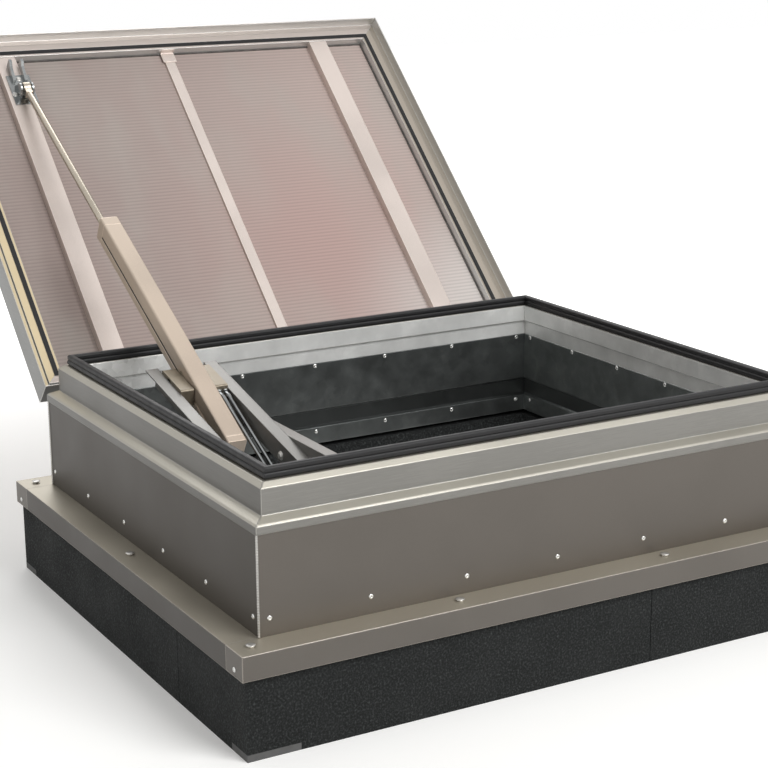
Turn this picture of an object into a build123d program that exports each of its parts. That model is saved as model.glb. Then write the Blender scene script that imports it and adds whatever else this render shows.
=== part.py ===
from build123d import *
import math
import os

os.makedirs("parts", exist_ok=True)

# Curb walls and folded base flange, heights measured from the roof deck
wall_width = 1200.0
wall_depth = 982.0
sheet = 2.0
flange_top = 192.0
flange_reach = 60.0
drip_drop = 45.0
upstand_rise = 48.0
lap_length = 46.0
lap_root = 8.0
wall_rise = 194.0
weld_radius = 2.4
weld_sides = 8

# Plinth boards and the packers let into them
plinth_setback = 9.0
front_joint_share = 0.27
side_joint_share = -0.595
board_gap = 1.6
packer_length = 100.0
packer_width = 60.0
packer_height = 13.0

# Extruded top frame: insets from the outer wall face, and rises above the wall's top
lip_lap = 14.0
lip_rise = 3.0
lip_round = 3.0
ledge_rise = 11.0
collar_inset = 18.3
collar_rise = 46.0
chamfer_rise = 9.0
seat_inset = 28.0
band_inset = 50.0
band_drop = 36.0
leg_drop = 18.0
frame_wall = 2.5

# Lining sheets
lining_inset = 46.0
lining_sheet = 1.2
lining_lap = 2.0
lining_foot = 8.0
recess_drop = 106.0
recess_height = 41.0
recess_depth = 6.0
recess_slope = 4.0
lining_return = 20.0

# Curb seal: two beads, one on the other
seal_inset = 33.0
seal_width = 15.0
seal_height = 21.4
bead_round = 4.5
bead_overlap = 1.6
upper_bead_share = 0.9

# Rivets and flange screws
rivet_head_radius = 5.0
rivet_head_height = 2.0
rivet_taper = 38.0
rivet_sides = 6
wall_rivet_edge = 20.2
wall_rivet_rise = 31.6
lining_rivet_edge = 22.9
lining_rivet_drop = 6.0
lining_rivet_rise = 35.7
front_rivet_steps = 6
side_rivet_steps = 5
tab_rivet_setback = 31.0
tab_rivet_drop = 32.0
screw_setback = 34.0
screw_corner_inset = 32.0
screw_inner_share = 0.373
screw_head_radius = 6.5
screw_head_height = 4.0

# Lid rails: insets from the lid's outer face, and heights above its rim
lid_gap = 1.5
seal_play = 0.4
rail_height = 60.0
rail_wall = 2.0
rail_web = 20.0
gutter_rise = 4.0
gutter_width = 17.0
gutter_slope = 2.0
groove_start = 36.0
groove_width = 10.0
groove_depth = 8.0
inner_wall_inset = 52.0
seat_rise = 38.0
slot_floor = 12.0
cover_width = 34.0
lid_seal_proud = 1.0
lid_seal_side_play = 0.2

# Multiwall panel and the strip that beds it
strip_height = 4.0
strip_start = 28.0
strip_proud = 2.5
panel_play = 1.0
panel_skin = 1.0
panel_web = 0.9
panel_cells = 100

# Stiffeners and centre bar under the panel
stiffener_offset = 13.0
stiffener_width = 48.0
stiffener_sheet = 2.0
stiffener_drop = 20.0
bar_width = 25.0
bar_height = 6.0
clip_width = 34.0
clip_reach = 30.0
clip_sheet = 2.0

# Hinge line, its knuckles and how far the lid stands open
hinge_setback = 2.5
hinge_drop = 29.5
open_angle = 136.7
hinge_spread_share = 0.72
knuckle_radius = 7.0
knuckle_sides = 8
hinge_pin_radius = 4.0
hinge_fit = 0.05
hinge_width = 84.0
lid_knuckle_width = 36.0
knuckle_play = 0.5
leaf_sheet = 3.0
curb_leaf_drop = 20.0
curb_leaf_rise = 16.0
pin_proud = 3.0
leaf_arm = 6.0

# Opener: trunnion and rod pin, the pin given with the lid shut
opener_inset = 152.0
trunnion_setback = 245.0
trunnion_rise = 3.0
pin_setback = 117.5
pin_drop = 1.0
rod_clearance = 31.0

# Cylinder with its caps, measured along the axis from the trunnion
tube_width = 40.0
tube_height = 54.0
tube_forward = 7.0
tube_round = 4.0
bore_radius = 13.0
bore_play = 0.05
slot_width = 6.0
slot_depth = 2.5
slot_cover = 1.5
head_length = 24.0
tail_reach = 215.0
tail_length = 16.0
trunnion_plate = 2.0
trunnion_plate_length = 34.0
trunnion_plate_height = 26.0
trunnion_radius = 9.0
trunnion_length = 20.0
running_fit = 0.05

# Piston, rod and rod eye
piston_length = 24.0
piston_stop = 5.0
rod_radius = 8.0
eye_radius = 14.0
eye_width = 16.0
eye_bore = 7.0
neck_length = 26.0

# Console: sloped rails, trunnion blocks and level carriers
rail_slope = 13.7
console_rail_top = 4.5
console_rail_up = 58.0
console_rail_down = 560.0
lug_length = 84.0
lug_depth = 24.0
console_rail_depth = 40.0
console_rail_width = 26.0
console_sheet = 3.0
block_gap = 0.3
block_thickness = 27.7
block_up = 36.0
block_down = 58.0
block_rise = 11.5
block_drop = 26.0
carrier_width = 24.0
carrier_height = 30.0
carrier_wall = 2.5
carrier_drop = 2.0
end_plate = 4.0
end_plate_height = 73.0

# Bolts of the console and of the bracket
bolt_head_radius = 7.0
bolt_head_height = 5.0
block_bolt_up = 24.0
block_bolt_down = 42.0
block_bolt_drop = 14.0
carrier_bolt_down = (300.0, 350.0)
carrier_bolt_drop = 20.0
end_bolt_rises = (12.0, 32.0)

# Air pipes beside the cylinder
pipe_radius = 4.0
pipe_sides = 8
pipe_offsets = (29.0, 42.0)
pipe_slope = 27.3
pipe_lead = 24.0
pipe_run = 420.0
pipe_bend = 26.0
fitting_radius = 6.2
fitting_length = 9.0

# Lock bracket under the left stiffener
bracket_sheet = 3.0
bracket_width = 56.0
bracket_front = 58.0
bracket_back = 30.0
cheek_inner = 12.0
cheek_sheet = 4.0
cheek_front = 26.0
cheek_back = 16.0
cheek_round = 13.0
stub_radius = 6.5
stub_play = 0.3
prong_length = 30.0
prong_width = 7.0
prong_height = 15.0
prong_offset = 14.0
prong_root = 22.0
prong_tip = 8.0
bracket_bolt_front = 46.0
bracket_bolt_side = 22.0
bracket_bolt_head = 5.0
bracket_bolt_head_height = 4.0

# Worked-out places
sides = {"front": 0.0, "right": 90.0, "back": 180.0, "left": 270.0}
here = Location()
flange_under = flange_top - sheet
plinth_x = wall_width / 2 + flange_reach - plinth_setback
plinth_y = wall_depth / 2 + flange_reach - plinth_setback
clear_x = wall_width / 2 - lining_inset
clear_y = wall_depth / 2 - lining_inset
wall_top = flange_top + wall_rise
lip_bottom = wall_top - lip_lap
lip_top = wall_top + lip_rise
ledge_top = wall_top + ledge_rise
collar_top = ledge_top + collar_rise
seat_height = collar_top + chamfer_rise
band_bottom = seat_height - band_drop
leg_bottom = wall_top - leg_drop
lining_top = wall_top - lining_lap
lining_bottom = flange_top + lining_foot
recess_top = lining_top - recess_drop
recess_bottom = recess_top - recess_height
seal_top = seat_height + seal_height
lid_rim = seal_top + seal_play + lid_seal_proud - rail_web
lid_width = wall_width - lid_gap * 2
lid_depth = wall_depth - lid_gap * 2
panel_top = rail_height - rail_wall
panel_under = seat_rise + strip_height
panel_thickness = panel_top - panel_under
panel_half_x = lid_width / 2 - slot_floor - panel_play
panel_half_y = lid_depth / 2 - slot_floor - panel_play
inner_half_y = lid_depth / 2 - inner_wall_inset
stiffener_face = lid_rim + panel_under - stiffener_drop
hinge_y = wall_depth / 2 - hinge_setback
hinge_z = seat_height - hinge_drop
opener_x = opener_inset - clear_x
stiffener_x = stiffener_offset - opener_x
trunnion_y = clear_y - trunnion_setback
trunnion_z = seat_height + trunnion_rise
rod_pin_y = pin_setback - inner_half_y
rod_pin_z = trunnion_z - pin_drop
head_reach = trunnion_y - rod_pin_y - rod_clearance
carrier_top = ledge_top - carrier_drop
end_plate_bottom = carrier_top - end_plate_height
end_bolt_heights = [end_plate_bottom + rise for rise in end_bolt_rises]

# The lid is drawn shut and placed open about the hinge line
hinge_turn = Location((0, hinge_y, hinge_z)) * Location((0, 0, 0), (-open_angle, 0, 0))
lid_open = hinge_turn * Location((0, -hinge_y, -hinge_z))
swing = math.radians(open_angle)
pin_arm_y = rod_pin_y - hinge_y
pin_arm_z = rod_pin_z - hinge_z
pin_open_y = hinge_y + pin_arm_y * math.cos(swing) + pin_arm_z * math.sin(swing)
pin_open_z = hinge_z - pin_arm_y * math.sin(swing) + pin_arm_z * math.cos(swing)
rod_reach = math.hypot(pin_open_y - trunnion_y, pin_open_z - trunnion_z)
rod_aim = (0, (pin_open_y - trunnion_y) / rod_reach, (pin_open_z - trunnion_z) / rod_reach)
trunnion_point = (opener_x, trunnion_y, trunnion_z)
cylinder_axis = Plane(origin=trunnion_point, x_dir=(1, 0, 0), z_dir=rod_aim)
slope = math.radians(rail_slope)
rail_aim = (0, math.cos(slope), math.sin(slope))
rail_plane = Plane(origin=trunnion_point, x_dir=rail_aim, z_dir=(1, 0, 0))
plate_half = tube_width / 2 + trunnion_plate
block_inner = plate_half + block_gap
web_inner = block_inner + block_thickness
web_outer = web_inner + console_sheet
carrier_middle = web_inner + console_rail_width + carrier_width / 2
cross_section = Plane.YZ


def reach_of(side, width, depth):
    """Distance from the centre to the outer face of a side."""
    return depth / 2 if side in ("front", "back") else width / 2


def run_of(side, width, depth):
    """Half the length of a side."""
    return width / 2 if side in ("front", "back") else depth / 2


def side_vectors(side):
    """The inward and the lengthwise direction of a side."""
    inward = Vector(0, 1, 0).rotate(Axis.Z, sides[side])
    along = Vector(1, 0, 0).rotate(Axis.Z, sides[side])
    return inward, along


def section_plane(side, width, depth, place):
    """Plane for a side's cross-section: inset from the outer face, then height."""
    inward, along = side_vectors(side)
    origin = inward * -reach_of(side, width, depth)
    return Plane(place * Plane(origin=origin, x_dir=inward, z_dir=along).location)


def face_plane(side, inset):
    """Upright plane along a curb side, facing outward: length, then height."""
    inward, along = side_vectors(side)
    origin = inward * (inset - reach_of(side, wall_width, wall_depth))
    return Plane(origin=origin, x_dir=along, z_dir=inward * -1)


def mitre_planes(side, width, depth, place):
    """The two corner planes at the ends of a side, facing away from it."""
    inward, along = side_vectors(side)
    planes = []
    for end in (-1, 1):
        corner = inward * -reach_of(side, width, depth) + along * (end * run_of(side, width, depth))
        planes.append(Plane(place * Plane(origin=corner, z_dir=inward + along * end).location))
    return planes


def step_spots(half_length, edge, steps, heights):
    """Evenly spaced spots along a side, in one or more rows."""
    pitch = (half_length - edge) * 2 / steps
    return [(edge - half_length + pitch * k, high) for high in heights for k in range(steps + 1)]


def save(piece, name):
    """Label a finished part and write it out."""
    piece.part.label = name
    export_step(piece.part, f"parts/{name}.step")


def mitred_length(side, outline, hollows, width, depth, place):
    """A length of section along one side, cut at the corners."""
    with BuildPart() as piece:
        with BuildSketch(section_plane(side, width, depth, place)):
            with BuildLine():
                Polyline(*outline, close=True)
            make_face()
            for hollow in hollows:
                with BuildLine():
                    Polyline(*hollow, close=True)
                make_face(mode=Mode.SUBTRACT)
        extrude(amount=run_of(side, width, depth) + flange_reach, both=True)
        for corner in mitre_planes(side, width, depth, place):
            split(bisect_by=corner, keep=Keep.BOTTOM)
    return piece.part


def steps_of(side):
    """Rivet intervals of a side."""
    return front_rivet_steps if side in ("front", "back") else side_rivet_steps


def wall_rivet_spots(side):
    """Rivet spots on an outer wall."""
    half = run_of(side, wall_width, wall_depth)
    return step_spots(half, wall_rivet_edge, steps_of(side), (flange_top + wall_rivet_rise,))


def lining_rivet_spots(side):
    """Rivet spots on a lining sheet, in two rows."""
    half = run_of(side, clear_x * 2, clear_y * 2)
    rows = (lining_top - lining_rivet_drop, flange_top + lining_rivet_rise)
    return step_spots(half, lining_rivet_edge, steps_of(side), rows)


def end_bolt_spots(side):
    """Spots where the carriers are bolted to the front and back lining."""
    turn = {"front": 1, "back": -1}.get(side, 0)
    if not turn:
        return []
    middles = (opener_x - carrier_middle, opener_x + carrier_middle)
    return [(x * turn, high) for x in middles for high in end_bolt_heights]


# Plinth boards, the front and back ones rebated for the packers
packer_x = plinth_x - packer_length / 2
packer_y = plinth_y - packer_width / 2
screw_y = wall_depth / 2 + flange_reach - screw_setback
screw_side_x = wall_width / 2 + flange_reach - screw_corner_inset
screw_inner_x = wall_width / 2 * screw_inner_share
screw_xs = (-screw_side_x, -screw_inner_x, screw_inner_x, screw_side_x)
screw_spots = [(x, y) for x in screw_xs for y in (-screw_y, screw_y)]
screw_spots += [(-screw_side_x, 0), (screw_side_x, 0)]
packer_spots = [(x, y) for x in (-packer_x, packer_x) for y in (-packer_y, packer_y)]
front_joint_x = plinth_x * front_joint_share
side_joint_y = clear_y * side_joint_share
boards = {
    "plinth_front_long": (-plinth_x, front_joint_x, -plinth_y, -clear_y),
    "plinth_front_short": (front_joint_x + board_gap, plinth_x, -plinth_y, -clear_y),
    "plinth_back": (-plinth_x, plinth_x, clear_y, plinth_y),
    "plinth_left_short": (-plinth_x, -clear_x, -clear_y, side_joint_y),
    "plinth_left_long": (-plinth_x, -clear_x, side_joint_y + board_gap, clear_y),
    "plinth_right": (clear_x, plinth_x, -clear_y, clear_y),
}
for name, (x_low, x_high, y_low, y_high) in boards.items():
    with BuildPart() as board:
        with BuildSketch(Plane.XY):
            with Locations(((x_low + x_high) / 2, (y_low + y_high) / 2)):
                Rectangle(x_high - x_low, y_high - y_low)
        extrude(amount=flange_under)
        with BuildSketch(Plane.XY):
            with Locations(*packer_spots):
                Rectangle(packer_length, packer_width)
        extrude(amount=packer_height, mode=Mode.SUBTRACT)
    save(board, name)

with BuildPart() as corner_packers:
    with BuildSketch(Plane.XY):
        with Locations(*packer_spots):
            Rectangle(packer_length, packer_width)
    extrude(amount=packer_height)
save(corner_packers, "corner_packers")

# Base flange: the end sheets wrap the corners, the side sheets run between them
flange_inner = sheet * 2
drip_bottom = flange_top - drip_drop
ledge_outline = [
    (-flange_reach, drip_bottom),
    (-flange_reach, flange_top),
    (flange_inner, flange_top),
    (flange_inner, flange_under),
    (sheet - flange_reach, flange_under),
    (sheet - flange_reach, drip_bottom),
]
upstand_outline = [
    (sheet, flange_under),
    (sheet, flange_top + upstand_rise),
    (flange_inner, flange_top + upstand_rise),
    (flange_inner, flange_under),
]
corner_x = wall_width / 2 + flange_reach
tab_y = wall_depth / 2 + flange_reach - tab_rivet_setback
tab_z = flange_top - tab_rivet_drop
for side in sides:
    is_end = side in ("front", "back")
    section = section_plane(side, wall_width, wall_depth, here)
    ledge_half = corner_x if is_end else wall_depth / 2 - flange_inner
    upstand_half = run_of(side, wall_width, wall_depth) - flange_inner
    with BuildPart() as flange:
        with BuildSketch(section):
            with BuildLine():
                Polyline(*ledge_outline, close=True)
            make_face()
        extrude(amount=ledge_half, both=True)
        with BuildSketch(section):
            with BuildLine():
                Polyline(*upstand_outline, close=True)
            make_face()
        extrude(amount=upstand_half, both=True)
        for end in (-1, 1):
            if is_end:
                wrap_middle = (flange_inner - flange_reach) / 2
                with BuildSketch(section.offset(end * corner_x)):
                    with Locations((wrap_middle, (drip_bottom + flange_under) / 2)):
                        Rectangle(flange_reach + flange_inner, flange_under - drip_bottom)
                extrude(amount=-end * sheet)
            else:
                lap_middle = sheet * 3 / 2 - flange_reach
                with BuildSketch(section.offset(end * (ledge_half - lap_root))):
                    with Locations((lap_middle, (drip_bottom + flange_under) / 2)):
                        Rectangle(sheet, flange_under - drip_bottom)
                extrude(amount=end * (lap_root + lap_length))
    save(flange, f"base_flange_{side}")

# Outer walls and the weld beads down their corners
wall_outline = [(0, flange_top), (0, wall_top), (sheet, wall_top), (sheet, flange_top)]
for side in sides:
    with BuildPart() as wall:
        add(mitred_length(side, wall_outline, [], wall_width, wall_depth, here))
    save(wall, f"wall_{side}")

with BuildPart() as corner_welds:
    with BuildSketch(Plane.XY.offset(flange_top)):
        with Locations(*[(x, y) for x in (-wall_width / 2, wall_width / 2) for y in (-wall_depth / 2, wall_depth / 2)]):
            RegularPolygon(weld_radius, weld_sides)
        Rectangle(wall_width, wall_depth, mode=Mode.SUBTRACT)
    extrude(amount=lip_bottom - flange_top)
save(corner_welds, "corner_welds")

# Extruded top frame, hollow, in four mitred lengths
leg_outer = lining_inset - lining_sheet
frame_outline = [
    (-sheet, lip_bottom),
    (-sheet, lip_top - lip_round),
    (lip_round - sheet, lip_top),
    (collar_inset, ledge_top),
    (collar_inset, collar_top),
    (seat_inset, seat_height),
    (band_inset, seat_height),
    (band_inset, band_bottom),
    (leg_outer, band_bottom),
    (leg_outer, leg_bottom),
    (leg_outer - frame_wall, leg_bottom),
    (leg_outer - frame_wall, wall_top),
    (0, wall_top),
    (0, lip_bottom),
]
frame_hollow = [
    (collar_inset + frame_wall, wall_top + frame_wall),
    (collar_inset + frame_wall, collar_top - frame_wall / 2),
    (seat_inset + frame_wall / 2, seat_height - frame_wall),
    (band_inset - frame_wall, seat_height - frame_wall),
    (band_inset - frame_wall, band_bottom + frame_wall),
    (leg_outer - frame_wall, band_bottom + frame_wall),
    (leg_outer - frame_wall, wall_top + frame_wall),
]
for side in sides:
    with BuildPart() as top_frame:
        add(mitred_length(side, frame_outline, [frame_hollow], wall_width, wall_depth, here))
    save(top_frame, f"top_frame_{side}")

# Curb seal: a closed ring of two beads
upper_width = seal_width * upper_bead_share
bead_height = (seal_height + bead_overlap) / 2


def seal_length(side):
    """One side of the curb seal, cut at the corners."""
    middle = seal_inset + seal_width / 2
    with BuildPart() as piece:
        with BuildSketch(section_plane(side, wall_width, wall_depth, here)):
            with Locations((middle, seat_height + bead_height / 2)):
                RectangleRounded(seal_width, bead_height, bead_round)
            with Locations((middle, seal_top - bead_height / 2)):
                RectangleRounded(upper_width, bead_height, bead_round)
        extrude(amount=run_of(side, wall_width, wall_depth), both=True)
        for corner in mitre_planes(side, wall_width, wall_depth, here):
            split(bisect_by=corner, keep=Keep.BOTTOM)
    return piece.part


with BuildPart() as curb_seal:
    for side in sides:
        add(seal_length(side))
save(curb_seal, "curb_seal")

# Lining sheets with a set-back band and a return under the insulation
lining_back = lining_inset - lining_sheet
lining_outline = [
    (lining_inset, lining_top),
    (lining_inset, recess_top),
    (lining_inset - recess_depth, recess_top - recess_slope),
    (lining_inset - recess_depth, recess_bottom + recess_slope),
    (lining_inset, recess_bottom),
    (lining_inset, lining_bottom),
    (lining_inset - lining_return, lining_bottom),
    (lining_inset - lining_return, lining_bottom + lining_sheet),
    (lining_back, lining_bottom + lining_sheet),
    (lining_back, recess_bottom),
    (lining_back - recess_depth, recess_bottom + recess_slope),
    (lining_back - recess_depth, recess_top - recess_slope),
    (lining_back, recess_top),
    (lining_back, lining_top),
]
for side in sides:
    with BuildPart() as lining:
        add(mitred_length(side, lining_outline, [], wall_width, wall_depth, here))
    save(lining, f"lining_{side}")

# Insulation wrapped between wall and lining
wrap_outer = sheet * 2
wrap_inner = lining_back - recess_depth
with BuildPart() as insulation:
    with BuildSketch(Plane.XY.offset(lining_bottom + lining_sheet)):
        Rectangle(wall_width - wrap_outer * 2, wall_depth - wrap_outer * 2)
        Rectangle(wall_width - wrap_inner * 2, wall_depth - wrap_inner * 2, mode=Mode.SUBTRACT)
    extrude(amount=wall_top - lining_bottom - lining_sheet)
save(insulation, "insulation")

# Rivet heads on walls, linings and flange tabs
rivet_rows = []
for side in sides:
    rivet_rows.append((face_plane(side, 0), 1, wall_rivet_spots(side)))
    rivet_rows.append((face_plane(side, lining_inset), -1, lining_rivet_spots(side)))
for side in ("left", "right"):
    rivet_rows.append((face_plane(side, -flange_reach), 1, [(-tab_y, tab_z), (tab_y, tab_z)]))
with BuildPart() as rivets:
    for plane, facing, spots in rivet_rows:
        with BuildSketch(plane):
            with Locations(*spots):
                RegularPolygon(rivet_head_radius, rivet_sides)
        extrude(amount=facing * rivet_head_height, taper=rivet_taper)
save(rivets, "rivets")

with BuildPart() as flange_screws:
    with BuildSketch(Plane.XY.offset(flange_top)):
        with Locations(*screw_spots):
            RegularPolygon(screw_head_radius, 6)
    extrude(amount=screw_head_height)
save(flange_screws, "flange_screws")

# Hinges along the back: curb leaves, pins and lid leaves
collar_face = wall_depth / 2 - collar_inset
hinge_spread = wall_width / 2 * hinge_spread_share
hinge_xs = (-hinge_spread, 0, hinge_spread)
curb_knuckle = (hinge_width - lid_knuckle_width) / 2 - knuckle_play
knuckle_shift = (hinge_width - curb_knuckle) / 2
leaf_low = hinge_z - curb_leaf_drop
leaf_high = hinge_z + curb_leaf_rise
with BuildPart() as hinge_curb_leaves:
    for hinge_x in hinge_xs:
        with BuildSketch(cross_section.offset(hinge_x)):
            with Locations((collar_face + leaf_sheet / 2, (leaf_low + leaf_high) / 2)):
                Rectangle(leaf_sheet, leaf_high - leaf_low)
        extrude(amount=hinge_width / 2, both=True)
        for end in (-1, 1):
            with BuildSketch(cross_section.offset(hinge_x + end * knuckle_shift)):
                with Locations((hinge_y, hinge_z)):
                    RegularPolygon(knuckle_radius, knuckle_sides)
                with Locations(((collar_face + hinge_y) / 2, hinge_z)):
                    Rectangle(hinge_y - collar_face, leaf_arm)
                with Locations((hinge_y, hinge_z)):
                    Circle(hinge_pin_radius + hinge_fit, mode=Mode.SUBTRACT)
            extrude(amount=curb_knuckle / 2, both=True)
save(hinge_curb_leaves, "hinge_curb_leaves")

with BuildPart() as hinge_pins:
    for hinge_x in hinge_xs:
        with BuildSketch(cross_section.offset(hinge_x)):
            with Locations((hinge_y, hinge_z)):
                Circle(hinge_pin_radius)
        extrude(amount=hinge_width / 2 + pin_proud, both=True)
save(hinge_pins, "hinge_pins")

lid_wall_face = lid_depth / 2 - rail_wall
lid_leaf_top = lid_rim + rail_web + gutter_rise
with BuildPart() as hinge_lid_leaves:
    for hinge_x in hinge_xs:
        with BuildSketch(Plane(lid_open * cross_section.offset(hinge_x).location)):
            with Locations((lid_wall_face - leaf_sheet / 2, (hinge_z + lid_leaf_top) / 2)):
                Rectangle(leaf_sheet, lid_leaf_top - hinge_z)
            with Locations((hinge_y, hinge_z)):
                RegularPolygon(knuckle_radius, knuckle_sides)
                Circle(hinge_pin_radius + hinge_fit, mode=Mode.SUBTRACT)
        extrude(amount=lid_knuckle_width / 2, both=True)
save(hinge_lid_leaves, "hinge_lid_leaves")

# Lid rails: outer skirt, gutter, seal groove, inner wall and glazing slot
groove_end = groove_start + groove_width
gutter_top = rail_web + gutter_rise
rail_points = [
    (0, 0),
    (0, rail_height),
    (cover_width, rail_height),
    (cover_width, panel_top),
    (slot_floor, panel_top),
    (slot_floor, seat_rise),
    (inner_wall_inset, seat_rise),
    (inner_wall_inset, rail_web),
    (groove_end, rail_web),
    (groove_end, rail_web + groove_depth),
    (groove_start, rail_web + groove_depth),
    (groove_start, rail_web),
    (gutter_width + gutter_slope, rail_web),
    (gutter_width, gutter_top),
    (rail_wall, gutter_top),
    (rail_wall, 0),
]
rail_hollow_points = [
    (rail_wall, gutter_top + rail_wall),
    (rail_wall, panel_top),
    (slot_floor - rail_wall, panel_top),
    (slot_floor - rail_wall, seat_rise - rail_wall),
    (inner_wall_inset - rail_wall, seat_rise - rail_wall),
    (inner_wall_inset - rail_wall, rail_web + rail_wall),
    (groove_end + rail_wall, rail_web + rail_wall),
    (groove_end + rail_wall, rail_web + groove_depth + rail_wall),
    (groove_start - rail_wall, rail_web + groove_depth + rail_wall),
    (groove_start - rail_wall, rail_web + rail_wall),
    (gutter_width + gutter_slope * 2, rail_web + rail_wall),
    (gutter_width + gutter_slope, gutter_top + rail_wall),
]
rail_outline = [(inset, lid_rim + rise) for inset, rise in rail_points]
rail_hollow = [(inset, lid_rim + rise) for inset, rise in rail_hollow_points]
for side in sides:
    with BuildPart() as lid_rail:
        add(mitred_length(side, rail_outline, [rail_hollow], lid_width, lid_depth, lid_open))
    save(lid_rail, f"lid_rail_{side}")

# Lid seal in its groove and the glazing strip under the panel
seal_low = lid_rim + rail_web - lid_seal_proud
seal_high = lid_rim + rail_web + groove_depth
seal_near = groove_start + lid_seal_side_play
seal_far = groove_end - lid_seal_side_play
lid_seal_outline = [(seal_near, seal_low), (seal_near, seal_high), (seal_far, seal_high), (seal_far, seal_low)]
strip_low = lid_rim + seat_rise
strip_high = lid_rim + panel_under
strip_end = inner_wall_inset + strip_proud
strip_outline = [(strip_start, strip_low), (strip_start, strip_high), (strip_end, strip_high), (strip_end, strip_low)]
with BuildPart() as lid_seal:
    for side in sides:
        add(mitred_length(side, lid_seal_outline, [], lid_width, lid_depth, lid_open))
save(lid_seal, "lid_seal")

with BuildPart() as glazing_strip:
    for side in sides:
        add(mitred_length(side, strip_outline, [], lid_width, lid_depth, lid_open))
save(glazing_strip, "glazing_strip")

# Multiwall panel, its cells running across the lid
cell_pitch = (panel_half_y * 2 - panel_web) / panel_cells
cell_spots = [panel_web - panel_half_y + cell_pitch * k for k in range(panel_cells)]
cell_middle = lid_rim + (panel_under + panel_top) / 2
with BuildPart() as lid_panel:
    with BuildSketch(Plane(lid_open * cross_section.location)):
        with Locations((0, cell_middle)):
            Rectangle(panel_half_y * 2, panel_thickness)
        with Locations(*[(spot + (cell_pitch - panel_web) / 2, cell_middle) for spot in cell_spots]):
            Rectangle(cell_pitch - panel_web, panel_thickness - panel_skin * 2, mode=Mode.SUBTRACT)
    extrude(amount=panel_half_x, both=True)
save(lid_panel, "lid_panel")

# Stiffeners under the panel, cut back over the glazing strip
panel_under_z = lid_rim + panel_under
bracket_bolt_y = rod_pin_y - bracket_bolt_front
bracket_bolt_spots = [(opener_x, bracket_bolt_y), (opener_x - bracket_bolt_side, rod_pin_y)]
for name, turn in (("stiffener_left", -1), ("stiffener_right", 1)):
    with BuildPart() as stiffener:
        with BuildSketch(Plane(lid_open * Plane.XY.offset(stiffener_face).location)):
            with Locations((turn * stiffener_x, 0)):
                Rectangle(stiffener_width, inner_half_y * 2)
        extrude(amount=stiffener_drop)
        with BuildSketch(Plane(lid_open * Plane.XY.offset(stiffener_face + stiffener_sheet).location)):
            with Locations((turn * stiffener_x, 0)):
                Rectangle(stiffener_width - stiffener_sheet * 2, inner_half_y * 2)
        extrude(amount=stiffener_drop, mode=Mode.SUBTRACT)
        with BuildSketch(Plane(lid_open * Plane.XY.offset(strip_low).location)):
            with Locations((turn * stiffener_x, inner_half_y), (turn * stiffener_x, -inner_half_y)):
                Rectangle(stiffener_width, strip_proud * 2)
        extrude(amount=strip_height, mode=Mode.SUBTRACT)
    save(stiffener, name)

# Centre bar under the panel with the clip at its free end
bar_low = panel_under_z - bar_height
with BuildPart() as centre_bar:
    with BuildSketch(Plane(lid_open * Plane.XY.offset(bar_low).location)):
        Rectangle(bar_width, (inner_half_y - strip_proud) * 2)
    extrude(amount=bar_height)
save(centre_bar, "centre_bar")

clip_low = lid_rim + rail_web + rail_wall
with BuildPart() as bar_clip:
    with BuildSketch(Plane(lid_open * Plane.XY.offset(bar_low).location)):
        with Locations((0, clip_reach / 2 - inner_half_y)):
            Rectangle(clip_width, clip_reach)
    extrude(amount=-clip_sheet)
    with BuildSketch(Plane(lid_open * Plane.XY.offset(bar_low).location)):
        with Locations((0, clip_sheet / 2 - inner_half_y)):
            Rectangle(clip_width, clip_sheet)
    extrude(amount=clip_low - bar_low)
save(bar_clip, "bar_clip")

# Lock bracket: plate, two cheeks with stub pivots, and two prongs
plate_low = stiffener_face - bracket_sheet
bracket_middle_y = rod_pin_y + (bracket_back - bracket_front) / 2
bracket_side = Plane(lid_open * cross_section.offset(opener_x).location)
prong_end = rod_pin_y - bracket_front - prong_length
with BuildPart() as lock_bracket:
    with BuildSketch(Plane(lid_open * Plane.XY.offset(plate_low).location)):
        with Locations((opener_x, bracket_middle_y)):
            Rectangle(bracket_width, bracket_front + bracket_back)
    extrude(amount=bracket_sheet)
    for turn in (-1, 1):
        with BuildSketch(bracket_side.offset(turn * cheek_inner)):
            with BuildLine():
                Polyline(
                    (rod_pin_y - cheek_front, plate_low),
                    (rod_pin_y + cheek_back, plate_low),
                    (rod_pin_y + cheek_round, rod_pin_z),
                    (rod_pin_y - cheek_round, rod_pin_z),
                    close=True,
                )
            make_face()
            with Locations((rod_pin_y, rod_pin_z)):
                Circle(cheek_round)
        extrude(amount=turn * cheek_sheet)
        with BuildSketch(bracket_side.offset(turn * cheek_inner)):
            with Locations((rod_pin_y, rod_pin_z)):
                Circle(stub_radius)
        extrude(amount=turn * (eye_width / 2 + stub_play - cheek_inner))
        with BuildSketch(bracket_side.offset(turn * prong_offset)):
            with BuildLine():
                Polyline(
                    (rod_pin_y - bracket_front + prong_root, plate_low),
                    (prong_end, plate_low),
                    (prong_end, plate_low - prong_height - prong_tip),
                    (prong_end + prong_tip, plate_low - prong_height - prong_tip),
                    (prong_end + prong_tip * 2, plate_low - prong_height),
                    (rod_pin_y - bracket_front + prong_root, plate_low - prong_height / 2),
                    close=True,
                )
            make_face()
        extrude(amount=prong_width / 2, both=True)
save(lock_bracket, "lock_bracket")

with BuildPart() as bracket_bolts:
    with BuildSketch(Plane(lid_open * Plane.XY.offset(plate_low).location)):
        with Locations(*bracket_bolt_spots):
            RegularPolygon(bracket_bolt_head, 6)
    extrude(amount=-bracket_bolt_head_height)
save(bracket_bolts, "bracket_bolts")

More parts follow.
